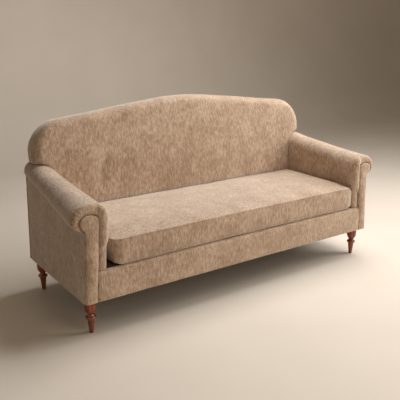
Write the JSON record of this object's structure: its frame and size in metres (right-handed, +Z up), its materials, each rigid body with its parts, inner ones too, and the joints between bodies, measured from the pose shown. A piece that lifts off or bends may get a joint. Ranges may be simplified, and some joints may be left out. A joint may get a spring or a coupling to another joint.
{
  "type": "rolled arm loveseat",
  "caption": "Upholstered rolled arm loveseat with a camel back, a loose bench seat cushion, scroll facings and turned wooden legs.",
  "frame": {"origin": "on the floor, in the middle of the width and of the depth", "axes": "+X along the width, +Y from the front to the outside back, +Z up"},
  "size_m": [1.88, 0.695, 0.957],
  "materials": {
    "chenille": "matte",
    "frame_timber": "matte",
    "mahogany": "gloss",
    "spring_steel": "satin",
    "fibreboard": "matte",
    "deck_cloth": "matte",
    "cambric": "matte",
    "foam": "matte",
    "webbing": "matte",
    "zip_nylon": "matte",
    "zip_metal": "satin",
    "glide_nylon": "satin"
  },
  "bodies": {
    "frame": {"back_lower_rail": "frame_timber", "back_pad": "chenille", "back_seat_rail": "frame_timber", "back_top_rail": "frame_timber", "back_uprights": "frame_timber", "back_webbing": "webbing", "corner_blocks": "frame_timber", "corner_screws": "spring_steel", "dust_cover": "cambric", "foot_glides": "glide_nylon", "frame_bolts": "spring_steel", "frame_dowels": "frame_timber", "front_border": "chenille", "front_left_leg": "mahogany", "front_rail": "frame_timber", "front_right_leg": "mahogany", "left_arm_facing": "chenille", "left_arm_front_board": "frame_timber", "left_arm_lining": "fibreboard", "left_arm_pad": "chenille", "left_arm_rail": "frame_timber", "left_arm_stretcher": "frame_timber", "left_back_post": "frame_timber", "left_outside_arm": "chenille", "left_side_rail": "frame_timber", "leg_blocks": "frame_timber", "leg_hanger_bolts": "spring_steel", "leg_tee_nuts": "spring_steel", "outside_back": "chenille", "rear_left_leg": "mahogany", "rear_right_leg": "mahogany", "right_arm_facing": "chenille", "right_arm_front_board": "frame_timber", "right_arm_lining": "fibreboard", "right_arm_pad": "chenille", "right_arm_rail": "frame_timber", "right_arm_stretcher": "frame_timber", "right_back_post": "frame_timber", "right_outside_arm": "chenille", "right_side_rail": "frame_timber", "seat_braces": "frame_timber", "seat_deck": "deck_cloth", "seat_springs": "spring_steel", "spring_clips": "spring_steel", "spring_tie_wires": "spring_steel"},
    "seat_cushion": {"cushion_cover": "chenille", "cushion_foam": "foam", "cushion_zip": "zip_nylon"},
    "zip_slider": {"zip_slider": "zip_metal"}
  },
  "joints": [
    {"name": "cushion_lift", "type": "slide", "parent": "frame", "child": "seat_cushion", "axis": [0, 0, 1], "range_m": [0, 0.4]},
    {"name": "zip_slide", "type": "slide", "parent": "seat_cushion", "child": "zip_slider", "axis": [1, 0, 0], "range_m": [0, 1.252]}
  ]
}
